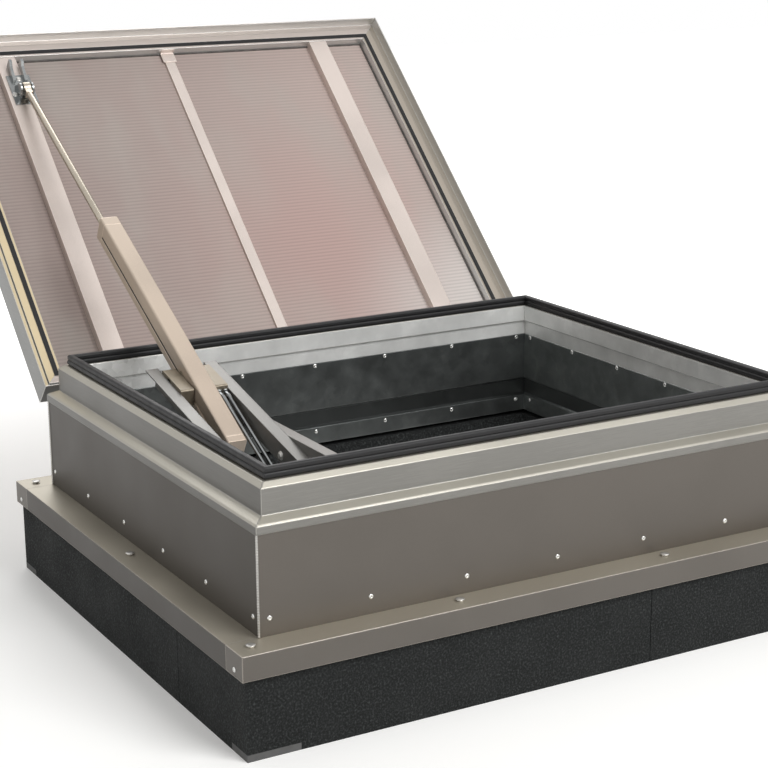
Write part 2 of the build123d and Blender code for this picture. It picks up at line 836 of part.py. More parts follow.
# Cylinder: slotted tube, head, tail, slot covers and the trunnion pins on its sides
tube_low = tail_length - tail_reach
tube_high = head_reach - head_length
with BuildPart() as cylinder_tube:
    with BuildSketch(cylinder_axis.offset(tube_low)):
        with Locations((0, -tube_forward)):
            RectangleRounded(tube_width, tube_height, tube_round)
        Circle(bore_radius, mode=Mode.SUBTRACT)
        with Locations((-tube_width / 2, 0), (tube_width / 2, 0)):
            Rectangle(slot_depth * 2, slot_width, mode=Mode.SUBTRACT)
    extrude(amount=tube_high - tube_low)
save(cylinder_tube, "cylinder_tube")

with BuildPart() as cylinder_head:
    with BuildSketch(cylinder_axis.offset(tube_high)):
        with Locations((0, -tube_forward)):
            RectangleRounded(tube_width, tube_height, tube_round)
        Circle(rod_radius + running_fit, mode=Mode.SUBTRACT)
    extrude(amount=head_length)
save(cylinder_head, "cylinder_head")

with BuildPart() as cylinder_tail:
    with BuildSketch(cylinder_axis.offset(tube_low)):
        with Locations((0, -tube_forward)):
            RectangleRounded(tube_width, tube_height, tube_round)
    extrude(amount=-tail_length)
save(cylinder_tail, "cylinder_tail")

slot_middle = tube_width / 2 - slot_depth + slot_cover / 2
slot_start = trunnion_plate_length / 2
with BuildPart() as slot_covers:
    with BuildSketch(cylinder_axis.offset(slot_start)):
        with Locations((-slot_middle, 0), (slot_middle, 0)):
            Rectangle(slot_cover, slot_width)
    extrude(amount=tube_high - slot_start)
save(slot_covers, "slot_covers")

trunnion_plane = Plane(origin=trunnion_point, x_dir=rod_aim, z_dir=(1, 0, 0))
with BuildPart() as trunnion_pins:
    for turn in (-1, 1):
        with BuildSketch(trunnion_plane.offset(turn * tube_width / 2)):
            Rectangle(trunnion_plate_length, trunnion_plate_height)
        extrude(amount=turn * trunnion_plate)
        with BuildSketch(trunnion_plane.offset(turn * plate_half)):
            Circle(trunnion_radius)
        extrude(amount=turn * trunnion_length)
save(trunnion_pins, "trunnion_pins")

# Piston, rod and rod eye, drawn out with the lid open
piston_high = tube_high - piston_stop
with BuildPart() as piston:
    with BuildSketch(cylinder_axis.offset(piston_high - piston_length)):
        Circle(bore_radius - running_fit)
    extrude(amount=piston_length)
save(piston, "piston")

neck_start = rod_reach - neck_length
with BuildPart() as piston_rod:
    with BuildSketch(cylinder_axis.offset(piston_high)):
        Circle(rod_radius)
    extrude(amount=neck_start - piston_high)
save(piston_rod, "piston_rod")

with BuildPart() as rod_eye:
    with BuildSketch(cylinder_axis.offset(neck_start)):
        Rectangle(eye_width, eye_width)
    extrude(amount=neck_length - eye_bore)
    with BuildSketch(trunnion_plane):
        with Locations((rod_reach, 0)):
            Circle(eye_radius)
    extrude(amount=eye_width / 2, both=True)
    with BuildSketch(trunnion_plane):
        with Locations((rod_reach, 0)):
            Circle(eye_bore)
    extrude(amount=eye_width, both=True, mode=Mode.SUBTRACT)
save(rod_eye, "rod_eye")

# Console: trunnion blocks, sloped rails and level carriers
block_bolt_spots = [(block_bolt_up, -block_bolt_drop), (-block_bolt_down, -block_bolt_drop)]
carrier_bolt_spots = [(-down, -carrier_bolt_drop) for down in carrier_bolt_down]
carrier_middle_z = carrier_top - carrier_height / 2
for name, turn in (("left", -1), ("right", 1)):
    with BuildPart() as trunnion_block:
        with BuildSketch(rail_plane.offset(turn * block_inner)):
            with Locations(((block_up - block_down) / 2, (block_rise - block_drop) / 2)):
                RectangleRounded(block_up + block_down, block_rise + block_drop, tube_round)
            Circle(trunnion_radius + running_fit, mode=Mode.SUBTRACT)
        extrude(amount=turn * block_thickness)
    save(trunnion_block, f"trunnion_block_{name}")

    with BuildPart() as console_rail:
        with BuildSketch(rail_plane.offset(turn * web_inner)):
            with Locations(((console_rail_up - console_rail_down) / 2, console_rail_top - console_rail_depth / 2)):
                Rectangle(console_rail_up + console_rail_down, console_rail_depth)
        extrude(amount=turn * console_sheet)
        with BuildSketch(rail_plane.offset(turn * web_inner)):
            with Locations(((console_rail_up - console_rail_down) / 2, console_rail_top - console_sheet / 2)):
                Rectangle(console_rail_up + console_rail_down, console_sheet)
            with Locations((-sum(carrier_bolt_down) / 2, -carrier_bolt_drop)):
                Rectangle(lug_length, lug_depth)
        extrude(amount=turn * console_rail_width)
    save(console_rail, f"console_rail_{name}")

    carrier_x = opener_x + turn * carrier_middle
    with BuildPart() as carrier:
        with BuildSketch(Plane.XZ.offset(end_plate - clear_y)):
            with Locations((carrier_x, carrier_middle_z)):
                Rectangle(carrier_width, carrier_height)
                Rectangle(
                    carrier_width - carrier_wall * 2, carrier_height - carrier_wall * 2, mode=Mode.SUBTRACT
                )
        extrude(amount=(clear_y - end_plate) * 2)
        for end in (-1, 1):
            with BuildSketch(Plane.XZ.offset(end * clear_y)):
                with Locations((carrier_x, (end_plate_bottom + carrier_top) / 2)):
                    Rectangle(carrier_width, end_plate_height)
            extrude(amount=-end * end_plate)
    save(carrier, f"carrier_{name}")

# Bolt heads: blocks to rails, rails to carriers, carriers to the lining
with BuildPart() as console_bolts:
    for turn in (-1, 1):
        with BuildSketch(rail_plane.offset(turn * web_outer)):
            with Locations(*block_bolt_spots):
                RegularPolygon(bolt_head_radius, 6)
        extrude(amount=turn * bolt_head_height)
        with BuildSketch(rail_plane.offset(turn * web_inner)):
            with Locations(*carrier_bolt_spots):
                RegularPolygon(bolt_head_radius, 6)
        extrude(amount=-turn * bolt_head_height)
    for side in ("front", "back"):
        with BuildSketch(face_plane(side, lining_inset + end_plate)):
            with Locations(*end_bolt_spots(side)):
                RegularPolygon(bolt_head_radius, 6)
        extrude(amount=-bolt_head_height)
save(console_bolts, "console_bolts")

# Air pipes from the right block to the front lining
fall = math.radians(pipe_slope)
block_end_y = trunnion_y - block_down * math.cos(slope)
block_end_z = trunnion_z - block_down * math.sin(slope)
lead_y = block_end_y - pipe_lead * math.cos(slope)
lead_z = block_end_z - pipe_lead * math.sin(slope)
foot_y = lead_y - pipe_run * math.cos(fall)
foot_z = lead_z - pipe_run * math.sin(fall)
with BuildPart() as air_pipes:
    for aside in pipe_offsets:
        pipe_x = opener_x + aside
        pipe_points = [
            (pipe_x, block_end_y, block_end_z),
            (pipe_x, lead_y, lead_z),
            (pipe_x, foot_y, foot_z),
            (pipe_x, -clear_y, foot_z),
        ]
        with BuildLine():
            pipe_path = FilletPolyline(*pipe_points, radius=pipe_bend)
        with BuildSketch(Plane(origin=pipe_points[0], x_dir=(1, 0, 0), z_dir=Vector(*rail_aim) * -1)):
            RegularPolygon(pipe_radius, pipe_sides)
        sweep(path=pipe_path)
        for spot, aim in ((pipe_points[0], Vector(*rail_aim) * -1), (pipe_points[-1], Vector(0, 1, 0))):
            with BuildSketch(Plane(origin=spot, x_dir=(1, 0, 0), z_dir=aim)):
                RegularPolygon(fitting_radius, 6)
            extrude(amount=fitting_length)
save(air_pipes, "air_pipes")
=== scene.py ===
"""Looks for the roof hatch: materials for every piece, dressed rivets, screws and welds, and the studio."""

import math

import bmesh
import bpy
from bpy.props import FloatProperty, FloatVectorProperty, IntProperty, PointerProperty
from bpy.types import NodeSocket, Operator, Panel, PropertyGroup
from mathutils import Matrix, Vector


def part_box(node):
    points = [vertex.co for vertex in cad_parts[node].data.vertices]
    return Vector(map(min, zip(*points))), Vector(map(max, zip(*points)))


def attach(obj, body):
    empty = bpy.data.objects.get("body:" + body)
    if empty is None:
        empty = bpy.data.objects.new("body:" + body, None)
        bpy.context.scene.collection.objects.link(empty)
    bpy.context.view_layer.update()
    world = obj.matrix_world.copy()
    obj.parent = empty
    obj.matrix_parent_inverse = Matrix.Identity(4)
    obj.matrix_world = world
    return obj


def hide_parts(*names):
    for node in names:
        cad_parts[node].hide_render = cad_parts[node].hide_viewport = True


bl_info = {
    "name": "Roof hatch looks",
    "version": (1, 0, 0),
    "blender": (4, 0, 0),
    "location": "View3D > Sidebar > Hatch",
    "description": "Dresses the roof hatch and lights it",
    "category": "Object",
}

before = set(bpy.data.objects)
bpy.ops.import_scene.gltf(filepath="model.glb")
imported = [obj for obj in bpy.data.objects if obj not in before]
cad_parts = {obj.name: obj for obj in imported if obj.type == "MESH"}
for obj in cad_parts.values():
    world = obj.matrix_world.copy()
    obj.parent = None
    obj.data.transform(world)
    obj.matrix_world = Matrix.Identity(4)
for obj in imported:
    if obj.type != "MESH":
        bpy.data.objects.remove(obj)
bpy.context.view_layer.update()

# The lid as it stands open, and the hollow pressed into the lining
OPEN_ANGLE = math.radians(136.7)
LID_SLOPE = math.pi - OPEN_ANGLE
UP_THE_LID = Vector((0, math.cos(LID_SLOPE), math.sin(LID_SLOPE)))
OUT_OF_THE_LID = Vector((0, -math.sin(LID_SLOPE), math.cos(LID_SLOPE)))
HOLLOW_DROP = 0.106
HOLLOW_HEIGHT = 0.041

# How far the grain is drawn out along each axis
EVEN = (1, 1, 1)
ALONG_X = (0.03, 1, 1)
ALONG_Y = (1, 0.03, 1)
# The panel's haze of painted reflections is drawn out this way
REFLECTION_STRETCH = (1.6, 0.6, 0.6)

# Cosines between a face's normal and a direction, from no effect to full effect
HIGHLIGHT_COSINES = (0.995, 0.85)
LEDGE_LIGHT_COSINES = (0.1, 0.75)
UNDERSIDE_COSINES = (0.5, 0.9)

# How much brighter the painted highlight along the edges is than the faces beside them
FLANGE_HIGHLIGHT = 3.2
COLLAR_HIGHLIGHT = 2.0
RAIL_HIGHLIGHT = 3.6

# A face looks inward where the middle of the curb or the lid lies this far in front of it
CURB_INWARD_REACH = 0.05
LID_INWARD_REACH = 0.1

# Zinc: crystals and clouds to the metre, and where along X the crystals grow strong and bright, a painted
# reflection in the left back corner
CRYSTALS = 60.0
CLOUDS = 14.0
REFLECTION_RISE = (-0.28, -0.46)

# Panel: where the warm painted sheen lies as shares of the panel's box, and how far the sheen and the
# painted pale corner reach
SHEEN_WIDTH_SHARE = 0.66
SHEEN_RISE_SHARE = 0.32
SHEEN_REACH = (0.0, 0.5)
PALE_LIGHT_REACH = (0.1, 0.45)

# Fasteners as (radius, rise): rivets in head radii, bolts in head radii and head heights; the rim is the
# outermost share of a head's radius
DOME_SHARES = (
    (0.4, -0.2),
    (1.0, 0.0),
    (0.97, 0.12),
    (0.82, 0.28),
    (0.58, 0.38),
    (0.36, 0.40),
    (0.30, 0.30),
    (0.12, 0.29),
)
WASHER_SHARES = ((0.5, 0.0), (1.3, 0.0), (1.3, 0.18), (0.5, 0.2))
HEXAGON_SHARES = ((0.6, 0.1), (0.96, 0.18), (0.96, 0.86), (0.86, 1.0))
HEXAGON_HEIGHT_SHARE = 0.62
ROUND_SEGMENTS = 20
RIM_SHARE = 0.98

# Weld beads in bead radii, and how finely a ripple is drawn
BEAD_END_SHARE = 0.2
BEAD_VALLEY_SHARE = 0.72
RIPPLE_SHARE = 2
RIPPLE_STEPS = 6
BEAD_SEGMENTS = 16

# Lamps as (place, aim, size), and where the floor turns white
KEY_LAMP = ((1.0, -3.6, 3.6), (0.0, 0.2, 0.5), 2.6)
FILL_LAMP = ((-3.4, -1.2, 2.2), (0.0, 0.0, 0.4), 2.4)
BACK_LAMP = ((0.6, 3.2, 3.0), (0.0, 0.3, 0.6), 2.2)
FLOOR_FADE = (1.0, 3.5)
FLOOR_GLOW = (0.2, 0.85)
WHITE = (1, 1, 1, 1)
SKY_STOPS = (
    (0.0, (0.35, 0.33, 0.30, 1)),
    (0.35, (0.42, 0.40, 0.37, 1)),
    (1.0, (1.0, 0.99, 0.97, 1)),
)
SKY_STRENGTH = 0.55

# Camera fitted to the photograph
CAMERA_PLACE = (-1.8565, -3.1286, 1.3890)
CAMERA_TURN = math.radians(-29.606)
CAMERA_TILT = math.radians(75.331)
CAMERA_ROLL = math.radians(-0.467)
CAMERA_LENS = 88.24
SENSOR = 36.0


def tone(name, description, default):
    """A colour that a user can change."""
    return FloatVectorProperty(
        name=name,
        description=description,
        size=4,
        subtype="COLOR",
        min=0.0,
        max=1.0,
        default=default + (1.0,),
    )


def lamp_power(name, description, default):
    """A lamp's power that a user can change."""
    return FloatProperty(name=name, description=description, unit="POWER", min=0.0, default=default)


class HatchMetal(PropertyGroup):
    """Colours and grain of the metal pieces."""

    sheet: tone("Sheet", "Front and back sheets of the curb", (0.124, 0.112, 0.100))
    # Painted shade: the flanks' darker tone stands for the shade on the left and right sheets and flanges
    flank_painted_shade: tone("Sheet flanks", "Left and right sheets of the curb", (0.070, 0.063, 0.056))
    flange: tone("Base flange", "Upright faces of the base flange", (0.134, 0.122, 0.109))
    # Painted highlight: the lighter tone of the level faces of the base flange
    flange_ledge_painted_light: tone("Base flange ledge", "Level faces of the base flange", (0.43, 0.395, 0.325))
    collar: tone("Curb frame", "Front and back of the curb's top frame", (0.195, 0.190, 0.177))
    # Painted shade: the darker tone of the top frame's left and right sides
    collar_flank_painted_shade: tone("Curb frame flanks", "Left and right of the curb's top frame", (0.122, 0.118, 0.110))
    # Painted highlight: the lighter tone of the level and sloped faces of the top frame
    collar_ledge_painted_light: tone("Curb frame ledge", "Level and sloped faces of the top frame", (0.40, 0.38, 0.33))
    # Painted highlight: the light tone of the frame's inner band stands for light falling into the curb
    band: tone("Curb frame inside", "Inner band of the curb's top frame", (0.80, 0.805, 0.79))
    rail: tone("Lid frame", "Outer sides of the rails round the lid", (0.17, 0.17, 0.165))
    rail_bead: tone("Lid frame inside", "Inner sides of the rails", (0.66, 0.665, 0.655))
    rail_under: tone("Lid frame underside", "Underside of the rails", (0.55, 0.485, 0.445))
    # Painted shade on the right rail's underside and painted light on the left rail's warm underside
    rail_right_under_painted_shade: tone("Lid frame right underside", "Underside of the right rail", (0.43, 0.38, 0.32))
    rail_left_under_painted_light: tone("Lid frame left underside", "Underside of the left rail", (0.66, 0.55, 0.36))
    bar: tone("Lid bars", "Stiffeners and centre bar under the panel", (0.66, 0.58, 0.535))
    # One zinc in three tones: front and back darkest, right lighter, left lightest; the differences are
    # painted shade and painted light, and the left tone is a painted highlight
    lining: tone("Lining", "Front and back lining sheets", (0.125, 0.133, 0.131))
    lining_right: tone("Lining right", "Right lining sheet", (0.237, 0.253, 0.249))
    lining_left: tone("Lining left", "Left lining sheet, brighter zinc", (0.275, 0.293, 0.288))
    opener: tone("Opener", "Tube and caps of the cylinder", (0.515, 0.425, 0.345))
    console: tone("Console", "Rails and carriers of the opener", (0.20, 0.195, 0.185))
    cast: tone("Cast blocks", "Trunnion blocks and pins", (0.24, 0.205, 0.155))
    plate: tone("Plated steel", "Bracket, clip, pipes and hinges", (0.30, 0.31, 0.31))
    rod: tone("Piston rod", "Rod and rod eye", (0.46, 0.41, 0.34))
    grain: FloatProperty(name="Grain", description="Grains to the metre", min=1.0, default=900.0)
    # This radius rounds the edges' normals and sets the width of their painted highlight
    edge: FloatProperty(
        name="Worn edge",
        description="Radius over which edges are worn",
        unit="LENGTH",
        min=0.0,
        default=0.003,
    )


class HatchTrim(PropertyGroup):
    """Colours of rubber, felt, wool and panel."""

    rubber: tone("Seal", "Seals and slot covers", (0.007, 0.007, 0.0075))
    strip: tone("Glazing strip", "Strip round the panel", (0.09, 0.085, 0.08))
    felt: tone("Felt", "Mineral felt of the plinth", (0.015, 0.0165, 0.0165))
    packer: tone("Packers", "Boards under the plinth's corners", (0.10, 0.10, 0.10))
    wool: tone("Wool", "Insulation behind the lining", (0.55, 0.47, 0.26))
    piston: tone("Piston", "Piston inside the tube", (0.03, 0.03, 0.03))
    panel: tone("Panel", "Multiwall panel", (0.53, 0.435, 0.405))
    # Painted sheen: a warm spot on the panel
    panel_painted_sheen: tone("Panel tint", "Warm spot on the panel", (0.60, 0.36, 0.33))
    # Painted reflections: greyer clouds on the panel
    panel_painted_reflections: tone("Panel haze", "Greyer clouds on the panel", (0.50, 0.47, 0.435))
    # Painted light: the pale right corner at the hinges
    panel_painted_pale_light: tone("Panel corner", "Pale right corner at the hinges", (0.76, 0.725, 0.70))
    panel_cells: IntProperty(name="Panel cells", description="Cells along the panel", min=1, default=100)


class HatchFasteners(PropertyGroup):
    """Colours of rivets, bolts and welds."""

    rivet: tone("Rivets", "Blind rivets of wall, lining and flange", (0.60, 0.60, 0.58))
    bolt: tone("Bolts", "Screws, bolts and washers", (0.66, 0.65, 0.62))
    weld: tone("Welds", "Beads at the curb's corners", (0.44, 0.43, 0.41))


class HatchStage(PropertyGroup):
    """The studio's lamps and floor."""

    key_power: lamp_power("Key light", "Large lamp in front, to the right", 190.0)
    fill_power: lamp_power("Fill light", "Lamp on the left", 10.0)
    back_power: lamp_power("Back light", "Lamp behind the lid", 60.0)
    floor: tone("Floor", "Plain pale floor", (0.86, 0.86, 0.85))
    floor_reach: FloatProperty(
        name="Floor reach",
        description="Half the floor's side",
        unit="LENGTH",
        min=1.0,
        default=12.0,
    )


def shade(color, share):
    """A colour made lighter or darker."""
    return (color[0] * share, color[1] * share, color[2] * share, 1)


def new_material(name):
    """An empty node material with one shader."""
    material = bpy.data.materials.new(name)
    material.use_nodes = True
    tree = material.node_tree
    tree.nodes.clear()
    output = tree.nodes.new("ShaderNodeOutputMaterial")
    shader = tree.nodes.new("ShaderNodeBsdfPrincipled")
    tree.links.new(shader.outputs["BSDF"], output.inputs["Surface"])
    return material, tree, shader


def fill(tree, sockets, values):
    """Links or sets each socket, whichever its value asks for."""
    for socket, value in zip(sockets, values):
        if isinstance(value, NodeSocket):
            tree.links.new(value, socket)
        else:
            socket.default_value = value


def add_math(tree, operation, *values):
    """A math node over sockets and numbers."""
    node = tree.nodes.new("ShaderNodeMath")
    node.operation = operation
    fill(tree, node.inputs, values)
    return node.outputs[0]


def add_vector_math(tree, operation, *values):
    """A vector math node over sockets and vectors."""
    node = tree.nodes.new("ShaderNodeVectorMath")
    node.operation = operation
    fill(tree, node.inputs, values)
    scalar = operation in ("DOT_PRODUCT", "DISTANCE", "LENGTH")
    return node.outputs["Value" if scalar else "Vector"]


def add_map(tree, value, source, target, smooth=False):
    """A value moved from one range to another, and kept inside it."""
    node = tree.nodes.new("ShaderNodeMapRange")
    if smooth:
        node.interpolation_type = "SMOOTHSTEP"
    node.inputs["From Min"].default_value, node.inputs["From Max"].default_value = source
    node.inputs["To Min"].default_value, node.inputs["To Max"].default_value = target
    tree.links.new(value, node.inputs["Value"])
    return node.outputs["Result"]


def add_around(tree, noise, middle, spread=0.06):
    """A noise's usual range moved to a spread around a middle."""
    return add_map(tree, noise, (0.3, 0.7), (middle - spread, middle + spread))


def add_coords(tree, scale=EVEN):
    """Object coordinates, stretched."""
    coords = tree.nodes.new("ShaderNodeTexCoord")
    mapping = tree.nodes.new("ShaderNodeMapping")
    mapping.inputs["Scale"].default_value = scale
    tree.links.new(coords.outputs["Object"], mapping.inputs["Vector"])
    return mapping.outputs["Vector"]


def add_axis(tree, vector, axis):
    """One axis of a vector."""
    split = tree.nodes.new("ShaderNodeSeparateXYZ")
    tree.links.new(vector, split.inputs["Vector"])
    return split.outputs[axis]


def add_shape(tree, name):
    """One output of the surface's own geometry."""
    return tree.nodes.new("ShaderNodeNewGeometry").outputs[name]


def add_noise(tree, vector, scale, detail=3.0):
    """A noise texture's factor."""
    noise = tree.nodes.new("ShaderNodeTexNoise")
    noise.inputs["Scale"].default_value = scale
    noise.inputs["Detail"].default_value = detail
    tree.links.new(vector, noise.inputs["Vector"])
    return noise.outputs["Fac"]


def add_ramp(tree, factor, stops):
    """A colour ramp over a factor; stops are (position, colour)."""
    ramp = tree.nodes.new("ShaderNodeValToRGB")
    elements = ramp.color_ramp.elements
    while len(elements) < len(stops):
        elements.new(0.5)
    for element, (position, color) in zip(elements, stops):
        element.position = position
        element.color = color
    tree.links.new(factor, ramp.inputs["Fac"])
    return ramp.outputs["Color"]


def add_mix(tree, factor, low, high, blend="MIX"):
    """A blend of two colours or colour sockets by a factor."""
    mix = tree.nodes.new("ShaderNodeMix")
    mix.data_type = "RGBA"
    mix.blend_type = blend
    colors = [socket for socket in mix.inputs if socket.type == "RGBA"]
    fill(tree, [mix.inputs["Factor"]] + colors, (factor, low, high))
    return [socket for socket in mix.outputs if socket.type == "RGBA"][0]


def add_edges(tree):
    """A normal that rounds the edges."""
    bevel = tree.nodes.new("ShaderNodeBevel")
    bevel.samples = 6
    bevel.inputs["Radius"].default_value = bpy.context.scene.hatch_metal.edge
    return bevel.outputs["Normal"]


def add_bump(tree, shader, height, strength, distance, edges=None):
    """A bump on the shader's normal, over rounded edges."""
    bump = tree.nodes.new("ShaderNodeBump")
    bump.inputs["Strength"].default_value = strength
    bump.inputs["Distance"].default_value = distance
    tree.links.new(height, bump.inputs["Height"])
    if edges:
        tree.links.new(edges, bump.inputs["Normal"])
    tree.links.new(bump.outputs["Normal"], shader.inputs["Normal"])


def add_highlight_edges(tree, edges):
    """Where the painted edge highlight falls: 1 along the edges that a rounded normal softens, 0 on flat
    faces.
    """
    bend = add_vector_math(tree, "DOT_PRODUCT", add_shape(tree, "True Normal"), edges)
    return add_map(tree, bend, HIGHLIGHT_COSINES, (0.0, 1.0))


def add_inward(tree):
    """1 on faces that look towards the middle of the hatch, 0 elsewhere."""
    flat = add_vector_math(tree, "MULTIPLY", add_shape(tree, "Position"), (1, 1, 0))
    facing = add_vector_math(tree, "DOT_PRODUCT", flat, add_shape(tree, "True Normal"))
    return add_math(tree, "LESS_THAN", facing, -CURB_INWARD_REACH)


def add_upward(tree):
    """Where the ledges' painted highlight falls: 1 on level faces that look up, less on slopes, 0 on upright
    faces.
    """
    rise = add_axis(tree, add_shape(tree, "Normal"), "Z")
    return add_map(tree, rise, LEDGE_LIGHT_COSINES, (0.0, 1.0))


def add_underside(tree):
    """1 on the faces of the lid that lie on the curb when it is shut, 0 elsewhere."""
    coords = tree.nodes.new("ShaderNodeTexCoord")
    facing = add_vector_math(tree, "DOT_PRODUCT", coords.outputs["Normal"], OUT_OF_THE_LID)
    return add_map(tree, facing, UNDERSIDE_COSINES, (0.0, 1.0))


def add_lid_inward(tree):
    """1 on faces that look towards the middle of the lid, 0 elsewhere."""
    coords = tree.nodes.new("ShaderNodeTexCoord")
    low, high = (Vector(corner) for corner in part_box("lid_panel"))
    offset = add_vector_math(tree, "SUBTRACT", coords.outputs["Object"], (low + high) / 2)
    facing = add_vector_math(tree, "DOT_PRODUCT", offset, coords.outputs["Normal"])
    return add_math(tree, "LESS_THAN", facing, -LID_INWARD_REACH)


def add_spangle(tree, color, plain, corner, spread):
    """Zinc crystals over a cloudy tone, growing stronger and brighter towards the left back corner as a
    painted reflection.
    """
    vector = add_coords(tree)
    cells = tree.nodes.new("ShaderNodeTexVoronoi")
    cells.inputs["Scale"].default_value = CRYSTALS
    tree.links.new(vector, cells.inputs["Vector"])
    crystal = tree.nodes.new("ShaderNodeSeparateColor")
    tree.links.new(cells.outputs["Color"], crystal.inputs["Color"])
    weight = add_map(tree, add_axis(tree, vector, "X"), REFLECTION_RISE, (plain, corner), True)
    cloud = add_noise(tree, vector, CLOUDS, 4.0)
    mixed = add_math(tree, "MULTIPLY_ADD", crystal.outputs["Red"], weight, cloud)
    stops = [(0.35, shade(color, 1 - spread)), (0.6, color), (0.95, shade(color, 1 + spread * 2.5))]
    return add_ramp(tree, mixed, stops)


def metal_material(
    name,
    color,
    rough=0.44,
    metallic=0.7,
    stretch=EVEN,
    inside=None,
    ledge=None,
    bead=None,
    under=None,
    edge_highlight=1.5,
):
    """Rolled or drawn metal: fine grain, cloudy tone, uneven gloss and a painted highlight along the edges.

    Faces that look into the curb, up, to the lid's middle or out of its underside can have their own tones.
    The tones on faces that look into the curb and up are painted highlights, and the underside tones of the
    left and right rails are painted light and shade.
    """
    material, tree, shader = new_material(name)
    fine = add_noise(tree, add_coords(tree, stretch), bpy.context.scene.hatch_metal.grain, 2.0)
    cloud = add_noise(tree, add_coords(tree), 5.0, 4.0)
    stops = [(0.65, shade(color, 0.92)), (0.95, color), (1.0, shade(color, 1.06))]
    look = add_ramp(tree, add_math(tree, "MULTIPLY_ADD", fine, 0.9, cloud), stops)
    shader.inputs["Metallic"].default_value = metallic
    # Faces that look into the curb take a much lighter tone: painted highlight
    if inside:
        inward = add_inward(tree)
        look = add_mix(tree, inward, look, add_spangle(tree, inside, 0.06, 0.4, 0.12))
        tree.links.new(add_map(tree, inward, (0, 1), (metallic, 0.45)), shader.inputs["Metallic"])
    # Faces that look up take a lighter tone: painted highlight
    if ledge:
        look = add_mix(tree, add_upward(tree), look, ledge)
    if bead:
        look = add_mix(tree, add_lid_inward(tree), look, bead)
    if under:
        look = add_mix(tree, add_underside(tree), look, under)
    edges = add_edges(tree)
    # Edges are painted lighter than the faces: painted highlight
    look = add_mix(tree, add_highlight_edges(tree, edges), look, shade(color, edge_highlight))
    tree.links.new(look, shader.inputs["Base Color"])
    tree.links.new(add_around(tree, cloud, rough), shader.inputs["Roughness"])
    add_bump(tree, shader, fine, 0.08, 0.0003, edges)
    return material


def spangle_material(name, color, rough=0.36, plain=0.12, corner=0.7):
    """Zinc coat with crystal spangle, with painted shade in the hollow of the lining."""
    material, tree, shader = new_material(name)
    vector = add_coords(tree)
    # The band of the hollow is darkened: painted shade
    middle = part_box("lining_back")[1][2] - HOLLOW_DROP - HOLLOW_HEIGHT / 2
    hollow = add_math(tree, "COMPARE", add_axis(tree, vector, "Z"), middle, HOLLOW_HEIGHT / 2)
    look = add_mix(tree, hollow, add_spangle(tree, color, plain, corner, 0.2), shade(color, 0.5))
    tree.links.new(look, shader.inputs["Base Color"])
    cloud = add_noise(tree, vector, 30.0)
    tree.links.new(add_around(tree, cloud, rough, 0.05), shader.inputs["Roughness"])
    shader.inputs["Metallic"].default_value = 0.85
    add_bump(tree, shader, cloud, 0.06, 0.001, add_edges(tree))
    return material


def rubber_material(name, color):
    """Matt rubber with a fine tooth and a little dust."""
    material, tree, shader = new_material(name)
    vector = add_coords(tree)
    dust = add_noise(tree, vector, 60.0, 5.0)
    stops = [(0.35, color), (0.75, shade(color, 1.9))]
    tree.links.new(add_ramp(tree, dust, stops), shader.inputs["Base Color"])
    tree.links.new(add_around(tree, dust, 0.54, 0.08), shader.inputs["Roughness"])
    shader.inputs["Specular IOR Level"].default_value = 0.35
    add_bump(tree, shader, add_noise(tree, vector, 900.0, 2.0), 0.15, 0.0004)
    return material


def felt_material(name, color):
    """Mineral felt: black granules with lighter specks."""
    material, tree, shader = new_material(name)
    vector = add_coords(tree)
    grit = add_noise(tree, vector, 260.0, 5.0)
    stops = [(0.38, shade(color, 0.5)), (0.53, color), (0.62, shade(color, 1.9)), (0.72, shade(color, 3.6))]
    tree.links.new(add_ramp(tree, grit, stops), shader.inputs["Base Color"])
    tree.links.new(add_around(tree, add_noise(tree, vector, 9.0), 0.86, 0.08), shader.inputs["Roughness"])
    shader.inputs["Specular IOR Level"].default_value = 0.25
    add_bump(tree, shader, grit, 0.7, 0.003)
    return material


def plain_material(name, color, rough, metallic):
    """A quiet surface with slight mottling."""
    material, tree, shader = new_material(name)
    vector = add_coords(tree)
    mottle = add_noise(tree, vector, 45.0, 4.0)
    stops = [(0.3, shade(color, 0.82)), (0.7, shade(color, 1.12))]
    tree.links.new(add_ramp(tree, mottle, stops), shader.inputs["Base Color"])
    tree.links.new(add_around(tree, mottle, rough), shader.inputs["Roughness"])
    shader.inputs["Metallic"].default_value = metallic
    add_bump(tree, shader, add_noise(tree, vector, 500.0, 2.0), 0.08, 0.0004)
    return material


def dress(material, *names):
    """Puts a material on CAD nodes."""
    for name in names:
        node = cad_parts[name]
        node.data.materials.clear()
        node.data.materials.append(material)


def islands_of(name):
    """The separate solids of a CAD node's mesh, each as a list of points."""
    mesh = bmesh.new()
    mesh.from_mesh(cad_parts[name].data)
    bmesh.ops.remove_doubles(mesh, verts=mesh.verts, dist=1e-6)
    seen = set()
    found = []
    for start in mesh.verts:
        if start in seen:
            continue
        seen.add(start)
        stack = [start]
        points = []
        while stack:
            vert = stack.pop()
            points.append(vert.co.copy())
            for edge in vert.link_edges:
                other = edge.other_vert(vert)
                if other not in seen:
                    seen.add(other)
                    stack.append(other)
        found.append(points)
    mesh.free()
    return found


